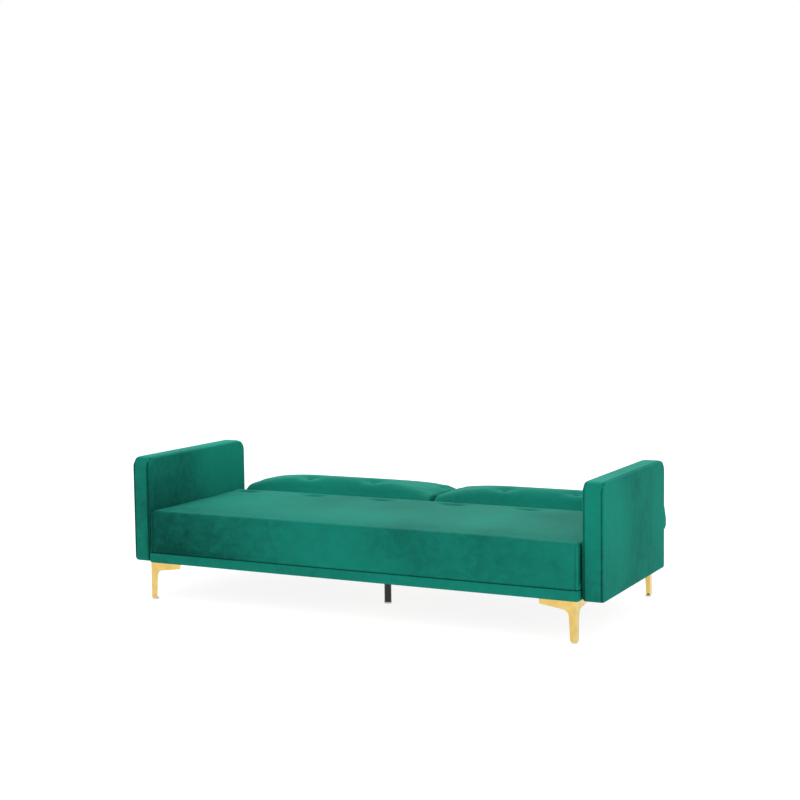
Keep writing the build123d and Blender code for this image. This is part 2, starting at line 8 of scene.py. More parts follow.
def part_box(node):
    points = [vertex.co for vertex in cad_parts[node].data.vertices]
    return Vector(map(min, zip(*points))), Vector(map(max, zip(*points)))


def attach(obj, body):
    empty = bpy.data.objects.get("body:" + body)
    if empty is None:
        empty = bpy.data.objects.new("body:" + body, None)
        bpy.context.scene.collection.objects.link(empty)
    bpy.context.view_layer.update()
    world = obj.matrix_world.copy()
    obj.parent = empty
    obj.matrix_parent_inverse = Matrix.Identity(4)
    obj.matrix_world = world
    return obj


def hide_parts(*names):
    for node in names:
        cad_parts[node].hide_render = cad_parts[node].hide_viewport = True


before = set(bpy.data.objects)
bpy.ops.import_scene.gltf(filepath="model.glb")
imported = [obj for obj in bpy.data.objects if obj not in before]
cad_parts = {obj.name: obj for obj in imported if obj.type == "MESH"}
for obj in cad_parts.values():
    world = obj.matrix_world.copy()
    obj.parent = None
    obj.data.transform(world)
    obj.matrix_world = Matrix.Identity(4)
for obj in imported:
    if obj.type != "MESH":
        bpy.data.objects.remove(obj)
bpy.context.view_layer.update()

bl_info = {
    "name": "Click-clack sofa bed",
    "version": (1, 0, 0),
    "blender": (4, 5, 0),
    "location": "3D View > Sidebar > Sofa bed",
    "description": "Velvet sofa bed with a split folding back, gold angle legs and track arms",
    "category": "Object",
}

MM = 0.001
AXES = {"x": 0, "y": 1, "z": 2}
CROWN_SETBACK = 0.030    # the back's crown lies this far behind its buttons
ARM_SWELL = 0.006        # the arm's padding stands this far proud of its outer face
ARM_SLACK = 0.002        # and this far past its front, rear and top
LAST_FRAME = 20          # of each cloth run


# ---------------------------------------------------------------- places read from the frame
def span(*nodes):
    """The lowest and highest corner of several frame nodes together."""
    boxes = [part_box(n) for n in nodes]
    low = Vector([min(b[0][i] for b in boxes) for i in range(3)])
    high = Vector([max(b[1][i] for b in boxes) for i in range(3)])
    return low, high


def loose_parts(node):
    """The lowest and highest corner of each separate solid in a frame node."""
    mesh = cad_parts[node].data
    bm = bmesh.new()
    bm.from_mesh(mesh)
    bmesh.ops.remove_doubles(bm, verts=bm.verts, dist=1e-5)
    seen, parts = set(), []
    for seed in bm.verts:
        if seed in seen:
            continue
        seen.add(seed)
        stack, points = [seed], []
        while stack:
            v = stack.pop()
            points.append(v.co.copy())
            for edge in v.link_edges:
                other = edge.other_vert(v)
                if other not in seen:
                    seen.add(other)
                    stack.append(other)
        low = Vector([min(p[i] for p in points) for i in range(3)])
        high = Vector([max(p[i] for p in points) for i in range(3)])
        parts.append((low, high))
    bm.free()
    return parts


SEAT_LOW, SEAT_HIGH = span("seat_cushion", "seat_border_front", "seat_border_rear")
CROWN_Y = span("back_left_buttons")[0].y + CROWN_SETBACK
ARM_LOW, ARM_HIGH = span("arm_right_inner_pad", "arm_right_outer_pad", "arm_right_border")
ARM_INNER, ARM_FRONT = ARM_LOW.x - 0.0005, ARM_LOW.y


# ---------------------------------------------------------------- settings
class SofaSeat(bpy.types.PropertyGroup):
    front_radius: bpy.props.FloatProperty(name="Front edge", description="Roll of the seat's front top edge",
                                          default=0.014, unit="LENGTH")
    end_radius: bpy.props.FloatProperty(name="End edge", description="Roll of the seat's top edges at the arms",
                                        default=0.010, unit="LENGTH")
    corner_radius: bpy.props.FloatProperty(name="Corner", description="Plan radius of the two front corners",
                                           default=0.010, unit="LENGTH")
    crown: bpy.props.FloatProperty(name="Crown", description="How far the filling lifts the cloth",
                                   default=0.004, unit="LENGTH")
    voxel: bpy.props.FloatProperty(name="Grid", description="Grid of the cloth before its last subdivision",
                                   default=0.011, unit="LENGTH")


class SofaBack(bpy.types.PropertyGroup):
    near_fall: bpy.props.FloatProperty(name="Near fall", description="How far the seat edge is below the crown",
                                       default=0.074, unit="LENGTH")
    end_fall: bpy.props.FloatProperty(name="End fall", description="How far each end falls below the crown",
                                      default=0.038, unit="LENGTH")
    crown: bpy.props.FloatProperty(name="Crown", description="How far the filling lifts the cloth",
                                   default=0.006, unit="LENGTH")
    end_reach: bpy.props.FloatProperty(name="End reach", description="Length over which the ends fall",
                                       default=0.36, unit="LENGTH")
    far_fall: bpy.props.FloatProperty(name="Far fall", description="How far the far edge falls below the crown",
                                      default=0.042, unit="LENGTH")
    voxel: bpy.props.FloatProperty(name="Grid", description="Grid of the cloth before its last subdivision",
                                   default=0.009, unit="LENGTH")


class SofaArm(bpy.types.PropertyGroup):
    front_radius: bpy.props.FloatProperty(name="Top front", description="Corner radius at the top front",
                                          default=0.040, unit="LENGTH")
    rear_radius: bpy.props.FloatProperty(name="Top rear", description="Corner radius at the top rear",
                                         default=0.050, unit="LENGTH")
    foot_radius: bpy.props.FloatProperty(name="Bottom front", description="Corner radius at the bottom front",
                                         default=0.018, unit="LENGTH")
    edge_radius: bpy.props.FloatProperty(name="Edge", description="Roundness of the long edges",
                                         default=0.007, unit="LENGTH")
    seam_inset: bpy.props.FloatProperty(name="Seam", description="Seam of the border strip, in from each face",
                                        default=0.007, unit="LENGTH")
    voxel: bpy.props.FloatProperty(name="Grid", description="Grid of the cloth before its last subdivision",
                                   default=0.008, unit="LENGTH")


class SofaTufts(bpy.types.PropertyGroup):
    width: bpy.props.FloatProperty(name="Width", description="Reach of a soft dimple along the sofa",
                                   default=0.056, unit="LENGTH")
    length: bpy.props.FloatProperty(name="Length", description="Reach of a soft dimple from front to rear",
                                    default=0.024, unit="LENGTH")
    share: bpy.props.FloatProperty(name="Softness", description="Part of the depth that the soft dimple takes",
                                   default=0.95, subtype="FACTOR", min=0, max=1)


class SofaColours(bpy.types.PropertyGroup):
    velvet: bpy.props.StringProperty(name="Velvet", description="Pile colour as sRGB hex", default="#127363")
    # The velvet shade is also the colour of the painted shade in seam grooves and shaded faces.
    velvet_shade: bpy.props.StringProperty(name="Velvet shade", description="Pile brushed away", default="#064239")
    sheen: bpy.props.StringProperty(name="Sheen", description="Light caught by the pile tips", default="#35a795")
    gold: bpy.props.StringProperty(name="Gold", description="Polished brass-coloured plating", default="#e3c678")


class SofaStage(bpy.types.PropertyGroup):
    lens: bpy.props.FloatProperty(name="Lens", description="Focal length in millimetres", default=68.49)
    place: bpy.props.FloatVectorProperty(name="Camera", description="Camera place", default=(2.812, -5.586, 1.353),
                                         subtype="XYZ", unit="LENGTH")
    turn: bpy.props.FloatProperty(name="Turn", description="Camera heading to the left of +Y",
                                  default=0.4719, subtype="ANGLE")
    tilt: bpy.props.FloatProperty(name="Tilt", description="Camera pitch above level",
                                  default=-0.0869, subtype="ANGLE")
    roll: bpy.props.FloatProperty(name="Roll", description="Camera roll", default=-0.0125, subtype="ANGLE")


def settings():
    return bpy.context.scene.sofa_bed


class SofaBed(bpy.types.PropertyGroup):
    seat: bpy.props.PointerProperty(type=SofaSeat)
    back: bpy.props.PointerProperty(type=SofaBack)
    arm: bpy.props.PointerProperty(type=SofaArm)
    tufts: bpy.props.PointerProperty(type=SofaTufts)
    colours: bpy.props.PointerProperty(type=SofaColours)
    stage: bpy.props.PointerProperty(type=SofaStage)


# ---------------------------------------------------------------- modelling helpers
def deselect():
    bpy.ops.object.select_all(action="DESELECT")


def make_active(obj):
    deselect()
    obj.select_set(True)
    bpy.context.view_layer.objects.active = obj


def start_box(name, low, high):
    """A cube at its size and place, with its place in the mesh, to be shaped further."""
    deselect()
    low, high = Vector(low), Vector(high)
    bpy.ops.mesh.primitive_cube_add(size=1, location=(low + high) / 2)
    obj = bpy.context.object
    obj.name = name
    obj.scale = high - low
    bpy.ops.object.transform_apply(location=True, rotation=True, scale=True)
    return obj


def round_edges(obj, test, radius, segments=8):
    """Bevel the edges whose two ends pass a test."""
    make_active(obj)
    bpy.ops.object.mode_set(mode="EDIT")
    bpy.ops.mesh.select_mode(type="EDGE")
    bpy.ops.mesh.select_all(action="DESELECT")
    bm = bmesh.from_edit_mesh(obj.data)
    for edge in bm.edges:
        a, b = edge.verts[0].co, edge.verts[1].co
        edge.select_set(test(a, b))
    bmesh.update_edit_mesh(obj.data)
    bpy.ops.mesh.bevel(offset=radius, offset_type="OFFSET", segments=segments, profile=0.5, affect="EDGES")
    bpy.ops.object.mode_set(mode="OBJECT")


def near(value, target):
    return abs(value - target) < 1e-4


def along(axis, **fixed):
    """A test for edges that run along an axis at fixed values of the other two."""
    def test(a, b):
        if abs((b - a)[AXES[axis]]) < 1e-4:
            return False
        return all(on_plane(k, v)(a, b) for k, v in fixed.items())

    return test


def on_plane(axis, value):
    """A test for edges that lie in a plane."""
    i = AXES[axis]
    return lambda a, b: near(a[i], value) and near(b[i], value)


def remesh(obj, voxel):
    make_active(obj)
    obj.data.remesh_voxel_size = voxel
    bpy.ops.object.voxel_remesh()


def coordinates(obj):
    co = np.empty(len(obj.data.vertices) * 3, np.float64)
    obj.data.vertices.foreach_get("co", co)
    return co.reshape(-1, 3)


def normals(obj):
    no = np.empty(len(obj.data.vertices) * 3, np.float64)
    obj.data.vertices.foreach_get("normal", no)
    return no.reshape(-1, 3)


def write_coordinates(obj, co):
    obj.data.vertices.foreach_set("co", np.ascontiguousarray(co).ravel())
    obj.data.update()


def apply_modifier(obj, modifier):
    make_active(obj)
    bpy.ops.object.modifier_apply(modifier=modifier.name)


def subdivide(obj):
    modifier = obj.modifiers.new("Smooth", "SUBSURF")
    modifier.levels = modifier.render_levels = 1
    apply_modifier(obj, modifier)


def relax(obj, factor, rounds):
    modifier = obj.modifiers.new("Relax", "SMOOTH")
    modifier.factor = factor
    modifier.iterations = rounds
    apply_modifier(obj, modifier)


def inflate(obj, hold, pressure, cap):
    """Fill a closed cover with air as cloth, with some of its points held, and cap how far a point moves."""
    before = coordinates(obj)
    group = obj.vertex_groups.new(name="hold")
    for index, weight in enumerate(hold):
        if weight > 0.01:
            group.add([index], float(weight), "REPLACE")
    cloth = obj.modifiers.new("Cloth", "CLOTH")
    cloth.settings.quality = 4
    cloth.settings.mass = 0.3
    cloth.settings.tension_stiffness = 15
    cloth.settings.compression_stiffness = 12
    cloth.settings.bending_stiffness = 1.0
    cloth.settings.use_pressure = True
    cloth.settings.uniform_pressure_force = pressure
    cloth.settings.effector_weights.gravity = 0
    cloth.settings.vertex_group_mass = "hold"
    cloth.collision_settings.use_collision = False
    scene = bpy.context.scene
    for number in range(1, LAST_FRAME + 1):
        scene.frame_set(number)
    apply_modifier(obj, cloth)
    scene.frame_set(1)
    moved = coordinates(obj) - before
    length = np.linalg.norm(moved, axis=1, keepdims=True)
    scale = np.minimum(1.0, cap / np.maximum(length, 1e-9))
    write_coordinates(obj, before + moved * scale)
    obj.vertex_groups.clear()


def cut_loops(obj, axis, value, spacing):
    """Three parallel edge loops round a seam, cut by planes across the whole piece."""
    normal = [0.0, 0.0, 0.0]
    normal[axis] = 1.0
    make_active(obj)
    bpy.ops.object.mode_set(mode="EDIT")
    for offset in (-spacing, 0.0, spacing):
        place = [0.0, 0.0, 0.0]
        place[axis] = value + offset
        bpy.ops.mesh.select_all(action="SELECT")
        bpy.ops.mesh.bisect(plane_co=place, plane_no=normal)
    bpy.ops.object.mode_set(mode="OBJECT")


def press_seam(obj, axis, value, width, depth, where=None):
    """Draw the points close to a seam plane inwards, to a soft groove."""
    co = coordinates(obj)
    distance = np.abs(co[:, axis] - value) / width
    amount = depth * np.clip(1 - distance, 0, 1) ** 1.5
    if where is not None:
        amount = amount * where(co)
    write_coordinates(obj, co - normals(obj) * amount[:, None])


def refine_near(obj, places, reach):
    """A finer grid on the top face round each button."""
    make_active(obj)
    bpy.ops.object.mode_set(mode="EDIT")
    bpy.ops.mesh.select_mode(type="FACE")
    bpy.ops.mesh.select_all(action="DESELECT")
    bm = bmesh.from_edit_mesh(obj.data)
    for face in bm.faces:
        c = face.calc_center_median()
        face.select_set(face.normal.z > 0.5 and any(math.hypot(c.x - x, c.y - y) < reach for x, y in places))
    bmesh.update_edit_mesh(obj.data)
    bpy.ops.mesh.subdivide(number_cuts=1, smoothness=0)
    bpy.ops.object.mode_set(mode="OBJECT")


def tuft(obj, node):
    """Draw the cloth down to each button: a wide soft dimple with a small steep pit in its middle."""
    t = settings().tufts
    parts = loose_parts(node)
    places = [((low.x + high.x) / 2, (low.y + high.y) / 2) for low, high in parts]
    refine_near(obj, places, 0.034)
    co = coordinates(obj)
    up = ease((normals(obj)[:, 2] - 0.4) / 0.3)
    for (x, y), (low, high) in zip(places, parts):
        dx, dy = co[:, 0] - x, co[:, 1] - y
        close = (np.hypot(dx, dy) < 0.012) & (up > 0.5)
        depth = max(co[close, 2].mean() - low.z + 0.001, 0.004)
        soft = t.share * depth * np.exp(-(dx / t.width) ** 2 - (dy / t.length) ** 2)
        pit = (1 - t.share) * depth * (1 - ease(np.hypot(dx / 0.020, dy / 0.015) - 0.3))
        co[:, 2] -= (soft + pit) * up
    write_coordinates(obj, co)


def fit_box(obj, low, high):
    """Stretch a piece a little so that it fills its place exactly."""
    co = coordinates(obj)
    least, most = co.min(axis=0), co.max(axis=0)
    low, high = np.array(low), np.array(high)
    write_coordinates(obj, low + (co - least) * (high - low) / (most - least))


def ease(t):
    """A smooth step from 0 to 1."""
    t = np.clip(t, 0, 1)
    return t * t * (3 - 2 * t)


def wave_noise(co, size, seed):
    """Smooth repeatable unevenness from a few crossed waves, about -1 to 1."""
    rng = np.random.default_rng(seed)
    total = np.zeros(len(co))
    for _ in range(6):
        direction = rng.normal(size=3)
        direction /= np.linalg.norm(direction)
        length = size * rng.uniform(0.7, 1.5)
        total += np.sin(co @ direction * (2 * math.pi / length) + rng.uniform(0, 6.28))
    return total / 3.0


def store(obj, name, values):
    attribute = obj.data.attributes.get(name) or obj.data.attributes.new(name, "FLOAT", "POINT")
    attribute.data.foreach_set("value", np.asarray(values, np.float32))


def smooth_shade(obj):
    make_active(obj)
    bpy.ops.object.shade_smooth()


def finish_piece(obj, body, material):
    obj.data.materials.clear()
    obj.data.materials.append(material)
    smooth_shade(obj)
    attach(obj, body)


def copy_of(obj, name):
    """A copy with a mesh of its own."""
    new = obj.copy()
    new.data = obj.data.copy()
    new.name = name
    bpy.context.scene.collection.objects.link(new)
    return new


def mirrored_copy(obj, name):
    """The same piece for the other side of the sofa, with a mesh of its own and its faces turned outwards."""
    new = copy_of(obj, name)
    write_coordinates(new, coordinates(new) * np.array((-1.0, 1.0, 1.0)))
    make_active(new)
    bpy.ops.object.mode_set(mode="EDIT")
    bpy.ops.mesh.select_all(action="SELECT")
    bpy.ops.mesh.normals_make_consistent(inside=False)
    bpy.ops.object.mode_set(mode="OBJECT")
    return new


# ---------------------------------------------------------------- material helpers
def linear(colour):
    """An sRGB hex colour as linear RGBA."""
    parts = [int(colour[i:i + 2], 16) / 255 for i in (1, 3, 5)]
    out = [c / 12.92 if c <= 0.04045 else ((c + 0.055) / 1.055) ** 2.4 for c in parts]
    return (*out, 1.0)


def add(tree, kind, settings=None, stops=(), **inputs):
    """Add a node, set its properties, colour stops and inputs, and link the inputs that are sockets."""
    node = tree.nodes.new(kind)
    for key, value in (settings or {}).items():
        setattr(node, key, value)
    for number, (place, colour) in enumerate(stops):
        elements = node.color_ramp.elements
        element = elements[number] if number < len(elements) else elements.new(place)
        element.position, element.color = place, linear(colour)
    for key, value in inputs.items():
        by_number = key[0] == "i" and key[1:].isdigit()
        socket = node.inputs[int(key[1:]) if by_number else key.replace("_", " ")]
        if isinstance(value, bpy.types.NodeSocket):
            tree.links.new(value, socket)
        else:
            socket.default_value = value
    return node


def new_material(name):
    material = bpy.data.materials.new(name)
    material.use_nodes = True
    tree = material.node_tree
    shader = next(n for n in tree.nodes if n.type == "BSDF_PRINCIPLED")
    return material, tree, shader


def velvet():
    """Polyester velvet, woven and sheared to a short upright pile.

    The pile is dark seen end on and pale where it leans into the light, so the cloth has a soft sheen at glancing
    angles. Its colour also follows a stored attribute that holds random nap patches together with painted shade
    and painted highlights: dark seam grooves, shaded fronts and lighter tops.
    One pile tuft is about 0.4 mm; it is drawn at 1.2 mm, the finest that shows.
    """
    colours = settings().colours
    material, tree, shader = new_material("sheared polyester velvet")
    place = add(tree, "ShaderNodeTexCoord").outputs["Object"]
    tuft = add(tree, "ShaderNodeTexNoise", Vector=place, Scale=1 / (1.2 * MM), Detail=2.0, Roughness=0.6)
    stretch = add(tree, "ShaderNodeMapping", Vector=place, Scale=(0.5, 1.0, 0.6))
    streak = add(tree, "ShaderNodeTexNoise", Vector=stretch.outputs["Vector"], Scale=1 / (22 * MM), Detail=4.0,
                 Roughness=0.66, Distortion=0.6)
    patch = add(tree, "ShaderNodeTexNoise", Vector=place, Scale=1 / (260 * MM), Detail=2.0, Roughness=0.5)
    # Stored per point: random nap patches plus painted shade below zero and painted highlight above zero.
    nap_and_painted_light = add(tree, "ShaderNodeAttribute", {"attribute_name": "nap_and_painted_light"})
    mixed = add(tree, "ShaderNodeMath", {"operation": "MULTIPLY_ADD"}, i0=streak.outputs["Fac"], i1=0.17,
                i2=nap_and_painted_light.outputs["Fac"])
    mixed = add(tree, "ShaderNodeMath", {"operation": "ADD"}, i0=mixed.outputs[0], i1=-0.02)
    mixed = add(tree, "ShaderNodeMath", {"operation": "MULTIPLY_ADD"}, i0=patch.outputs["Fac"], i1=0.14,
                i2=mixed.outputs[0])
    # The ramp runs from the shade stop, which paints shade, through the pile colour to a lighter stop, which
    # paints highlights. The random streaks and patches move the colour along it as well.
    shade = add(tree, "ShaderNodeValToRGB", Fac=mixed.outputs[0], stops=(
        (0.0, colours.velvet_shade), (0.165, colours.velvet), (0.42, "#14917d")))
    fine = add(tree, "ShaderNodeMath", {"operation": "MULTIPLY_ADD"}, i0=tuft.outputs["Fac"], i1=0.5, i2=0.75)
    colour = add(tree, "ShaderNodeVectorMath", {"operation": "SCALE"}, i0=shade.outputs["Color"],
                 Scale=fine.outputs[0])
    tree.links.new(colour.outputs[0], shader.inputs["Base Color"])
    rough = add(tree, "ShaderNodeMapRange", Value=streak.outputs["Fac"], To_Min=0.78, To_Max=0.95)
    tree.links.new(rough.outputs[0], shader.inputs["Roughness"])
    shader.inputs["IOR"].default_value = 1.45
    shader.inputs["Specular IOR Level"].default_value = 0.05
    shader.inputs["Sheen Weight"].default_value = 0.16
    shader.inputs["Sheen Roughness"].default_value = 0.35
    shader.inputs["Sheen Tint"].default_value = linear(colours.sheen)
    bump = add(tree, "ShaderNodeBump", Height=tuft.outputs["Fac"], Strength=0.35, Distance=0.5 * MM)
    wave = add(tree, "ShaderNodeBump", Height=streak.outputs["Fac"], Normal=bump.outputs[0], Strength=0.14,
               Distance=4 * MM)
    tree.links.new(wave.outputs[0], shader.inputs["Normal"])
    return material


def polished_gold():
    """Mild steel plated and buffed to a mirror in a brass colour.

    It mirrors the room sharply, with faint haze and fine buffing lines along its length.
    """
    material, tree, shader = new_material("buffed brass-coloured plating")
    place = add(tree, "ShaderNodeTexCoord").outputs["Object"]
    lines = add(tree, "ShaderNodeMapping", Vector=place, Scale=(1.0, 1.0, 0.06))
    buff = add(tree, "ShaderNodeTexNoise", Vector=lines.outputs["Vector"], Scale=1 / (1.0 * MM), Detail=3.0)
    haze = add(tree, "ShaderNodeTexNoise", Vector=place, Scale=1 / (30 * MM), Detail=3.0)
    rough = add(tree, "ShaderNodeMapRange", Value=haze.outputs["Fac"], To_Min=0.12, To_Max=0.26)
    tone = add(tree, "ShaderNodeValToRGB", Fac=haze.outputs["Fac"],
               stops=((0.3, "#d6b468"), (0.7, settings().colours.gold)))
    tree.links.new(tone.outputs["Color"], shader.inputs["Base Color"])
    tree.links.new(rough.outputs[0], shader.inputs["Roughness"])
    shader.inputs["Metallic"].default_value = 1.0
    bump = add(tree, "ShaderNodeBump", Height=buff.outputs["Fac"], Strength=0.04, Distance=0.1 * MM)
    tree.links.new(bump.outputs[0], shader.inputs["Normal"])
    return material


def speckled(name, low, high, grain, roughness, metallic=0.0, bump_strength=0.2, stretch=(1, 1, 1), ior=1.5):
    """A plain finish with fine unevenness of one grain size, in millimetres."""
    material, tree, shader = new_material(name)
    place = add(tree, "ShaderNodeTexCoord").outputs["Object"]
    turned = add(tree, "ShaderNodeMapping", Vector=place, Scale=stretch)
    grain_noise = add(tree, "ShaderNodeTexNoise", Vector=turned.outputs["Vector"], Scale=1 / (grain * MM),
                      Detail=4.0, Roughness=0.6)
    tone = add(tree, "ShaderNodeValToRGB", Fac=grain_noise.outputs["Fac"], stops=((0.3, low), (0.7, high)))
    tree.links.new(tone.outputs["Color"], shader.inputs["Base Color"])
    rough = add(tree, "ShaderNodeMapRange", Value=grain_noise.outputs["Fac"], To_Min=roughness - 0.08,
                To_Max=roughness + 0.08)
    tree.links.new(rough.outputs[0], shader.inputs["Roughness"])
    shader.inputs["Metallic"].default_value = metallic
    if not metallic:
        shader.inputs["IOR"].default_value = ior
    bump = add(tree, "ShaderNodeBump", Height=grain_noise.outputs["Fac"], Strength=bump_strength,
               Distance=0.3 * MM)
    tree.links.new(bump.outputs[0], shader.inputs["Normal"])
    return material


def black_paint():
    """Powder-coated steel: black, with the soft gloss and fine orange peel of baked powder."""
    return speckled("black powder coat", "#0a0a0b", "#131315", 1.5, 0.42, bump_strength=0.15)


def glide_plastic():
    """Moulded polypropylene: pale, waxy and slightly uneven."""
    return speckled("moulded polypropylene", "#c9c2b2", "#d8d2c4", 2.0, 0.45, bump_strength=0.1, ior=1.49)


def zinc_plate():
    """Zinc-plated steel: grey with the faint mottle of the plating bath."""
    return speckled("zinc-plated steel", "#9a9c9e", "#b9bbbd", 1.2, 0.34, metallic=1.0, bump_strength=0.08)


def pressed_steel():
    """Hot-rolled steel, pressed and blackened: dark, with a dull broken shine."""
    return speckled("blackened pressed steel", "#33343a", "#4b4d54", 2.5, 0.46, metallic=1.0, bump_strength=0.15)


def pine():
    """Planed pine boards: pale, with the grain drawn out along X."""
    return speckled("planed pine", "#b98d5a", "#dab684", 9.0, 0.6, stretch=(0.06, 1, 1), ior=1.5)


def belt_webbing():
    """Woven elastic belt, black, with ribs across its width."""
    return speckled("woven elastic belt", "#111112", "#26262a", 2.0, 0.85, stretch=(0.2, 1, 1))


def wool_felt():
    """Needled felt made of mixed grey waste fibre: matt and flecked."""
    return speckled("needled grey felt", "#5c5a57", "#8b8883", 1.5, 0.95, bump_strength=0.5)


def lining():
    """Spun-bonded black lining cloth: thin, matt and dimpled by its bonding points."""
    return speckled("spun-bonded lining", "#0d0d0e", "#1d1d1f", 1.8, 0.9, bump_strength=0.4)


def white_sweep():
    """Back-lit white acrylic floor, so that the piece stands in even light with almost no shadow."""
    material, tree, shader = new_material("back-lit white acrylic")
    shader.inputs["Base Color"].default_value = (0.25, 0.25, 0.25, 1)
    shader.inputs["Roughness"].default_value = 0.9
    shader.inputs["Specular IOR Level"].default_value = 0.0
    shader.inputs["Emission Color"].default_value = (1, 1, 1, 1)
    shader.inputs["Emission Strength"].default_value = 0.88
    return material


MADE = {}


def material_named(maker):
    """Each material is made once."""
    if maker not in MADE:
        MADE[maker] = maker()
    return MADE[maker]


# ---------------------------------------------------------------- velvet pieces
def store_nap_and_painted_light(obj, shift=None):
    """Random nap patches in the pile, plus a shift that paints shade below zero and light above zero onto the
    piece.
    """
    co = coordinates(obj)
    value = 0.03 + 0.05 * wave_noise(co, 0.55, 11)
    # The shift is painted light and shade.
    if shift is not None:
        value = value + shift(co)
    store(obj, "nap_and_painted_light", value)


def seat_painted_shade(co):
    """Painted shade on the seat's front face: darker towards its left end, by the left arm, and in the seam
    grooves at the two front corners.
    """
    x, y, _ = co.T
    front = ease((SEAT_LOW.y + 0.030 - y) / 0.03)
    seam_shade = np.exp(-((np.abs(x) - (SEAT_HIGH.x - 0.016)) / 0.0025) ** 2)
    # Painted shade on the front's left part and in the corner seam grooves, plus a small lift over the whole seat.
    return 0.01 + front * (-0.14 * ease((-0.10 - x) / 0.75) - 0.12 * seam_shade)


def seat_block():
    s = settings().seat
    low = SEAT_LOW + Vector((-0.002, 0.003, -0.001))
    high = SEAT_HIGH - Vector((-0.002, 0.0, s.crown))
    obj = start_box("seat_upholstery", low, high)
    round_edges(obj, along("z", y=low.y), s.corner_radius)
    round_edges(obj, along("x", y=high.y, z=high.z), 0.050, 3)
    round_edges(obj, lambda a, b: near(a.z, high.z) and near(b.z, high.z) and max(a.y, b.y) < low.y + 0.016,
                s.front_radius)
    round_edges(obj, lambda a, b: on_plane("x", low.x)(a, b) or on_plane("x", high.x)(a, b), s.end_radius)
    remesh(obj, s.voxel)
    relax(obj, 0.5, 1)
    co = coordinates(obj)
    top = ease((co[:, 2] - (high.z - 0.030)) / 0.020)
    co[:, 2] -= 0.005 * top * ease((co[:, 0] - 0.6) / 0.33)
    write_coordinates(obj, co)
    hold = ease((low.z + 0.030 - co[:, 2]) / 0.02)
    hold = np.maximum(hold, ease((co[:, 1] - (high.y - 0.070)) / 0.03))
    inflate(obj, hold, 2.5, s.crown + 0.003)
    subdivide(obj)
    relax(obj, 0.5, 1)
    tuft(obj, "seat_buttons")
    for side in (-1, 1):
        corner = side * (SEAT_HIGH.x - 0.016)
        cut_loops(obj, 0, corner, 0.0025)
        press_seam(obj, 0, corner, 0.006, 0.0022,
                   lambda c: ease((low.y + 0.03 - c[:, 1]) / 0.02) * ease((high.z - 0.012 - c[:, 2]) / 0.01))
    co = coordinates(obj)
    between_arms = co[:, 1] > ARM_FRONT
    co[between_arms, 0] = np.clip(co[between_arms, 0], -ARM_INNER, ARM_INNER)
    write_coordinates(obj, co)
    store_nap_and_painted_light(obj, seat_painted_shade)
    finish_piece(obj, "root", material_named(velvet))
    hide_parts("seat_cushion", "seat_border_front", "seat_border_rear", "seat_border_left",
                "seat_border_right")
    return obj


def seat_band():
    """The narrow cloth-covered band under the seat's seam, on all four sides."""
    low, high = span("lower_band_front", "lower_band_rear", "lower_band_left", "lower_band_right")
    high.z += 0.0012
    obj = start_box("lower_band", low, high)
    round_edges(obj, along("z", y=low.y), settings().seat.corner_radius)
    round_edges(obj, lambda a, b: near(a.z, b.z), 0.004, 4)
    make_active(obj)
    bpy.ops.object.mode_set(mode="EDIT")
    bpy.ops.mesh.select_mode(type="FACE")
    bpy.ops.mesh.select_all(action="DESELECT")
    bm = bmesh.from_edit_mesh(obj.data)
    bm.faces.ensure_lookup_table()
    for face in bm.faces:
        face.select_set(abs(face.normal.z) > 0.99)
    bmesh.update_edit_mesh(obj.data)
    bpy.ops.mesh.inset(thickness=0.012)
    bpy.ops.mesh.bridge_edge_loops()
    bpy.ops.object.mode_set(mode="OBJECT")
    store_nap_and_painted_light(obj, lambda c: 0.02)
    finish_piece(obj, "root", material_named(velvet))
    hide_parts("lower_band_front", "lower_band_rear", "lower_band_left", "lower_band_right")
    return obj


def back_profile(co, low, high):
    """Lower the near edge, the far edge and both ends below the crown, as the filling thins out there."""
    b = settings().back
    x, y, z = co.T
    end = np.minimum(x - low.x, high.x - x)
    reach = CROWN_Y - low.y
    near_part = b.near_fall * np.clip((CROWN_Y - y) / reach, 0, 1) ** 1.6
    end_part = b.end_fall * np.clip(1 - end / b.end_reach, 0, 1) ** 1.6
    behind = np.clip(y - CROWN_Y, 0, 1)
    far_part = b.far_fall * (np.sqrt(behind ** 2 + 0.03 ** 2) - 0.03) / (high.y - CROWN_Y)
    fall = (near_part ** 3 + end_part ** 3 + far_part ** 3) ** (1 / 3)
    co[:, 2] = low.z + (z - low.z) * (1 - fall / (high.z - low.z))
    return end


def recess_for_lining(obj, node):
    """Lift the underside where the lining is stapled on, so that the lining shows and the velvet frames it."""
    low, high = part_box(node)
    co = coordinates(obj)
    x, y, z = co.T
    inside = np.minimum(np.minimum(x - low[0], high[0] - x), np.minimum(y - low[1], high[1] - y))
    under = z < high[2] + 0.002
    co[under, 2] += 0.006 * ease((inside[under] + 0.001) / 0.004)
    write_coordinates(obj, co)


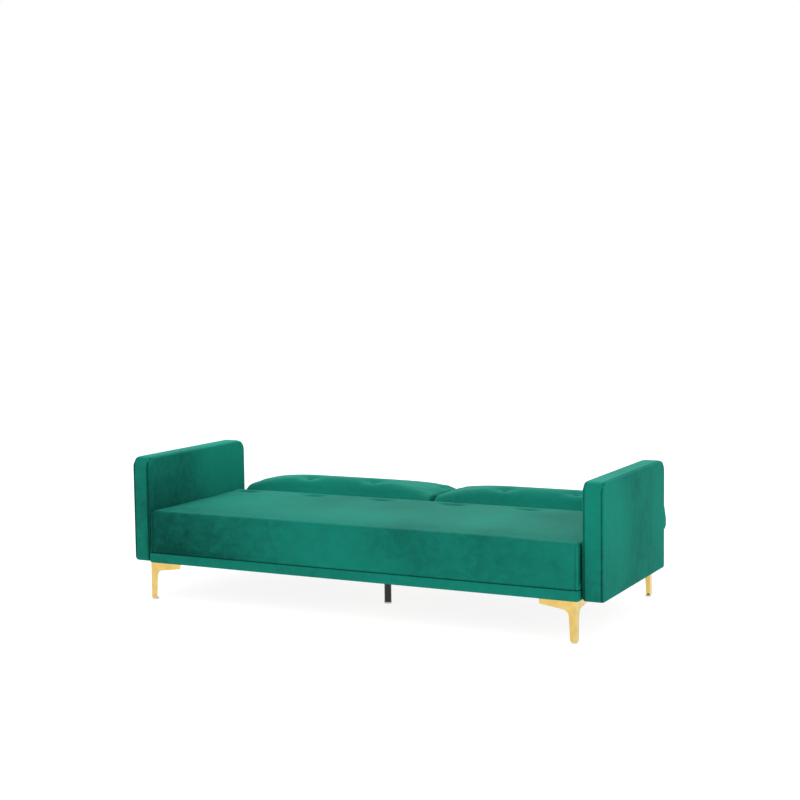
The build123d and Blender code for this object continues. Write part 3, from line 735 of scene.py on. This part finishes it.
def back_half():
    """The right half of the back: a full cushion, rolled at the far edge and thinner at its ends."""
    b = settings().back
    low, high = span("back_right_cushion", "back_right_border")
    low = low + Vector((0.001, 0.001, 0.0))
    high = high + Vector((0.0035, 0.010, -b.crown))
    obj = start_box("back_right_upholstery", low, high)
    round_edges(obj, along("x", y=low.y, z=high.z), 0.016, 4)
    round_edges(obj, along("x", y=high.y, z=high.z), 0.048, 10)
    round_edges(obj, along("x", y=high.y, z=low.z), 0.034, 6)
    round_edges(obj, lambda a, c: on_plane("x", low.x)(a, c) or on_plane("x", high.x)(a, c), 0.006, 4)
    remesh(obj, b.voxel)
    co = coordinates(obj)
    end = back_profile(co, low, high)
    write_coordinates(obj, co)
    relax(obj, 0.5, 1)
    co = coordinates(obj)
    hold = ease((low.z + 0.022 - co[:, 2]) / 0.015)
    hold = np.maximum(hold, ease((low.y + 0.045 - co[:, 1]) / 0.03))
    hold = np.maximum(hold, ease((0.020 - end) / 0.012) * ease((low.y + 0.12 - co[:, 1]) / 0.05))
    inflate(obj, hold, 2.5, b.crown + 0.002)
    subdivide(obj)
    relax(obj, 0.5, 1)
    tuft(obj, "back_right_buttons")
    co = coordinates(obj)
    fit_box(obj, (low.x, low.y, low.z), (high.x, high.y, co[:, 2].max()))
    recess_for_lining(obj, "back_right_cover")
    return obj


def back_halves():
    right = back_half()
    for name, obj in (("left", mirrored_copy(right, "back_left_upholstery")), ("right", right)):
        near_edge = coordinates(obj)[:, 1].min()
        # Painted light over the whole back half, with painted shade on the near slope.
        store_nap_and_painted_light(obj, lambda c: 0.045 - 0.015 * ease((near_edge + 0.10 - c[:, 1]) / 0.08))
        finish_piece(obj, f"back_{name}", material_named(velvet))
        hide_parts(f"back_{name}_cushion", f"back_{name}_border")


def arm():
    """The right arm: a slab with a border strip set between two seams, padded on both faces."""
    a = settings().arm
    low, high = ARM_LOW, ARM_HIGH
    obj = start_box("arm_right_upholstery", low, high)
    round_edges(obj, along("x", y=low.y, z=high.z), a.front_radius, 10)
    round_edges(obj, along("x", y=high.y, z=high.z), a.rear_radius, 12)
    round_edges(obj, along("x", y=low.y, z=low.z), a.foot_radius, 6)
    round_edges(obj, lambda p, q: on_plane("x", low.x)(p, q) or on_plane("x", high.x)(p, q), a.edge_radius, 4)
    remesh(obj, a.voxel)
    relax(obj, 0.5, 1)
    co = coordinates(obj)
    seams = (low.x + a.seam_inset, high.x - a.seam_inset)
    distance = np.minimum(np.abs(co[:, 0] - seams[0]), np.abs(co[:, 0] - seams[1]))
    hold = np.clip(1.4 - distance / 0.006, 0, 1)
    hold = np.maximum(hold, ease((low.z + 0.012 - co[:, 2]) / 0.01))
    inflate(obj, hold, 1.2, 0.0035)
    subdivide(obj)
    for place in seams:
        cut_loops(obj, 0, place, 0.0016)
        press_seam(obj, 0, place, 0.0042, 0.0030, lambda c: ease((c[:, 2] - low.z - 0.01) / 0.01))
    crease_top(obj, low, high)
    fit_box(obj, low - Vector((0, ARM_SLACK, 0)), high + Vector((ARM_SWELL, ARM_SLACK, ARM_SLACK)))
    return obj


def arm_painted_light(co, inner):
    """Painted light on the arms: painted shade in the seam grooves, a painted highlight along the top, painted
    light at the rear and painted shade at the front of the left arm's inner face, and painted shade low down on
    the right arm.
    """
    a = settings().arm
    across, y, z = np.abs(co[:, 0]), co[:, 1], co[:, 2]
    width = ARM_HIGH.x - ARM_LOW.x
    stretched = ARM_LOW.x + (across - ARM_LOW.x) * width / (width + ARM_SWELL)
    seam_shade = np.exp(-((stretched - ARM_LOW.x - a.seam_inset) / 0.003) ** 2)
    seam_shade = seam_shade + np.exp(-((stretched - ARM_HIGH.x + a.seam_inset) / 0.003) ** 2)
    edge = np.minimum(np.minimum(y - ARM_LOW.y, ARM_HIGH.y - y), ARM_HIGH.z - z)
    # Painted highlight along the top face, and painted shade in the seam grooves over the front, top and rear.
    value = 0.13 * ease((z - (ARM_HIGH.z - 0.006)) / 0.005) - 0.17 * seam_shade * ease((0.010 - edge) / 0.004)
    face = ease((ARM_LOW.x + 0.02 - across) / 0.012)
    # Left arm's inner face: painted light at the rear and painted shade in front. Right arm: painted shade lower
    # down.
    return value + inner * face * (0.08 - 0.14 * ease((0.02 - y - 0.35 * (z - 0.36)) / 0.24)) \
        - (1 - inner) * 0.04 * ease((0.5 - z) / 0.3)


def arms():
    right = arm()
    for name, obj in (("left", mirrored_copy(right, "arm_left_upholstery")), ("right", right)):
        store_nap_and_painted_light(obj, lambda c: arm_painted_light(c, float(name == "left")))
        finish_piece(obj, "root", material_named(velvet))
        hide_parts(f"arm_{name}_inner_pad", f"arm_{name}_outer_pad", f"arm_{name}_border")


def crease_top(obj, low, high):
    """The short crease over the top front corner, and small gathers at the foot of the front."""
    co = coordinates(obj)
    x, y, z = co.T
    line = (y - low.y) - 0.012
    band = np.exp(-(line / 0.004) ** 2) * ease((z - (high.z - 0.030)) / 0.02)
    gathers = np.sin((x - low.x) * 2 * math.pi / 0.021) * np.exp(-((z - low.z) / 0.05) ** 2)
    gathers = gathers * ease((low.y + 0.012 - y) / 0.01)
    amount = 0.0022 * band + 0.0011 * gathers
    write_coordinates(obj, co - normals(obj) * amount[:, None])


def button_cover(low, high):
    """One cloth-covered button: a flattened dome with a tucked rim."""
    deselect()
    middle = (low + high) / 2 - Vector((0, 0, 0.0045))
    bpy.ops.mesh.primitive_uv_sphere_add(segments=32, ring_count=16, radius=(high.x - low.x) / 2, location=middle)
    obj = bpy.context.object
    obj.name = "button"
    obj.scale = (1, 1, (high.z - low.z) / (high.x - low.x))
    bpy.ops.object.transform_apply(location=True, rotation=True, scale=True)
    co = coordinates(obj)
    radius = np.hypot(co[:, 0] - middle.x, co[:, 1] - middle.y) / ((high.x - low.x) / 2)
    angle = np.arctan2(co[:, 1] - middle.y, co[:, 0] - middle.x)
    co[:, 2] += 0.0004 * np.sin(9 * angle) * ease((radius - 0.6) / 0.3)
    write_coordinates(obj, co)
    store(obj, "nap_and_painted_light", np.full(len(co), -0.01))
    return obj


def covered_buttons():
    """One button is modelled, and every button on the seat and the backs is a copy of it."""
    first, high = loose_parts("seat_buttons")[0]
    model = button_cover(first, high)
    for node, body in (("seat_buttons", "root"), ("back_left_buttons", "back_left"),
                       ("back_right_buttons", "back_right")):
        for number, (low, _) in enumerate(loose_parts(node), 1):
            obj = copy_of(model, f"{node}_{number}")
            write_coordinates(obj, coordinates(obj) + np.array(low - first))
            finish_piece(obj, body, material_named(velvet))
            if number == 1:
                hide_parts(node)
    bpy.data.objects.remove(model)


# ---------------------------------------------------------------- frame pieces that keep their shape
def soften_edges(obj, radius):
    """A small rounded edge on a frame piece, by modifiers only."""
    weld = obj.modifiers.new("Weld", "WELD")
    weld.merge_threshold = 1e-5
    bevel = obj.modifiers.new("Edge", "BEVEL")
    bevel.width = radius
    bevel.segments = 2
    bevel.limit_method = "ANGLE"
    bevel.angle_limit = math.radians(40)


def finish_nodes(maker, test):
    material = material_named(maker)
    for name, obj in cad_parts.items():
        if test(name):
            obj.data.materials.clear()
            obj.data.materials.append(material)


# ---------------------------------------------------------------- operators
class SOFA_OT_seat(bpy.types.Operator):
    """Make the tufted seat and the band under it"""
    bl_idname = "sofa.seat"
    bl_label = "Seat"

    def execute(self, context):
        seat_block()
        seat_band()
        return {"FINISHED"}


class SOFA_OT_backs(bpy.types.Operator):
    """Make the two folding halves of the back"""
    bl_idname = "sofa.backs"
    bl_label = "Back halves"

    def execute(self, context):
        back_halves()
        return {"FINISHED"}


class SOFA_OT_buttons(bpy.types.Operator):
    """Make the covered buttons of the seat and the back halves"""
    bl_idname = "sofa.buttons"
    bl_label = "Buttons"

    def execute(self, context):
        covered_buttons()
        return {"FINISHED"}


class SOFA_OT_arms(bpy.types.Operator):
    """Make the two padded track arms"""
    bl_idname = "sofa.arms"
    bl_label = "Arms"

    def execute(self, context):
        arms()
        return {"FINISHED"}


class SOFA_OT_legs(bpy.types.Operator):
    """Finish the gold corner legs, the centre leg and all glides"""
    bl_idname = "sofa.legs"
    bl_label = "Legs"

    def execute(self, context):
        finish_nodes(polished_gold, lambda n: n.startswith(("leg_front", "leg_rear")))
        finish_nodes(black_paint, lambda n: n == "centre_leg")
        finish_nodes(glide_plastic, lambda n: n in ("leg_glides", "centre_leg_glide"))
        for name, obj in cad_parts.items():
            if name.startswith(("leg_front", "leg_rear")):
                soften_edges(obj, 0.0008)
        return {"FINISHED"}


class SOFA_OT_frame(bpy.types.Operator):
    """Finish the timber, hinges, fixings, belts and linings"""
    bl_idname = "sofa.frame"
    bl_label = "Frame and hinges"

    def execute(self, context):
        finish_nodes(pine, lambda n: n.endswith(("rail", "frame", "slats")))
        finish_nodes(velvet, lambda n: n.startswith("base_rail"))
        finish_nodes(pressed_steel, lambda n: n.endswith(("brackets", "hinge_arms", "pins", "clips"))
                     or n.startswith("pawls"))
        finish_nodes(zinc_plate, lambda n: n.endswith(("bolts", "screws", "spacers")))
        finish_nodes(belt_webbing, lambda n: n == "seat_webbing")
        finish_nodes(wool_felt, lambda n: n == "seat_deck")
        finish_nodes(lining, lambda n: n.endswith("_cover"))
        return {"FINISHED"}


class SOFA_OT_stage(bpy.types.Operator):
    """Set up the pale floor, soft light and camera"""
    bl_idname = "sofa.stage"
    bl_label = "Stage"

    def execute(self, context):
        floor()
        lights()
        camera()
        return {"FINISHED"}


def floor():
    deselect()
    bpy.ops.mesh.primitive_plane_add(size=60, location=(0, 0, -0.0005))
    obj = bpy.context.object
    obj.name = "floor"
    obj.data.materials.append(white_sweep())


def lights():
    world = bpy.data.worlds.new("studio")
    bpy.context.scene.world = world
    world.use_nodes = True
    background = world.node_tree.nodes["Background"]
    background.inputs["Color"].default_value = (1, 1, 1, 1)
    background.inputs["Strength"].default_value = 1.0
    for name, place, size, power, aim in (
        ("rear softbox", (-1.2, 3.6, 3.0), 2.2, 140, (0, 0, 0.3)),
        ("right fill", (4.6, -2.2, 2.4), 2.6, 24, (0.5, 0, 0.3)),
    ):
        deselect()
        bpy.ops.object.light_add(type="AREA", location=place)
        lamp = bpy.context.object
        lamp.name = name
        lamp.data.shape = "SQUARE"
        lamp.data.size = size
        lamp.data.energy = power
        lamp.rotation_euler = (Vector(aim) - Vector(place)).to_track_quat("-Z", "Y").to_euler()
    bpy.context.scene.view_settings.view_transform = "Standard"


def camera():
    s = settings().stage
    bpy.ops.object.camera_add(location=s.place)
    obj = bpy.context.object
    forward = Vector((-math.sin(s.turn) * math.cos(s.tilt), math.cos(s.turn) * math.cos(s.tilt), math.sin(s.tilt)))
    right = Vector((math.cos(s.turn), math.sin(s.turn), 0))
    up = right.cross(forward)
    rolled_right = right * math.cos(s.roll) + up * math.sin(s.roll)
    rolled_up = up * math.cos(s.roll) - right * math.sin(s.roll)
    turn = Matrix((rolled_right, rolled_up, -forward)).transposed()
    obj.matrix_world = Matrix.Translation(Vector(s.place)) @ turn.to_4x4()
    obj.data.lens = s.lens
    obj.data.sensor_width = 36
    bpy.context.scene.camera = obj


class SOFA_PT_panel(bpy.types.Panel):
    """Lists the operators that build the sofa bed"""
    bl_idname = "SOFA_PT_panel"
    bl_label = "Sofa bed"
    bl_space_type = "VIEW_3D"
    bl_region_type = "UI"
    bl_category = "Sofa bed"

    def draw(self, context):
        for operator in OPERATORS:
            self.layout.operator(operator.bl_idname)


OPERATORS = (SOFA_OT_seat, SOFA_OT_backs, SOFA_OT_buttons, SOFA_OT_arms, SOFA_OT_legs, SOFA_OT_frame,
             SOFA_OT_stage)
CLASSES = (SofaSeat, SofaBack, SofaArm, SofaTufts, SofaColours, SofaStage, SofaBed) + OPERATORS + (SOFA_PT_panel,)


def register():
    for item in CLASSES:
        bpy.utils.register_class(item)
    bpy.types.Scene.sofa_bed = bpy.props.PointerProperty(type=SofaBed)


def unregister():
    del bpy.types.Scene.sofa_bed
    for item in reversed(CLASSES):
        bpy.utils.unregister_class(item)


def main():
    register()
    bpy.ops.sofa.stage()
    bpy.ops.sofa.seat()
    bpy.ops.sofa.backs()
    bpy.ops.sofa.buttons()
    bpy.ops.sofa.arms()
    bpy.ops.sofa.legs()
    bpy.ops.sofa.frame()


if __name__ == "__main__":
    main()
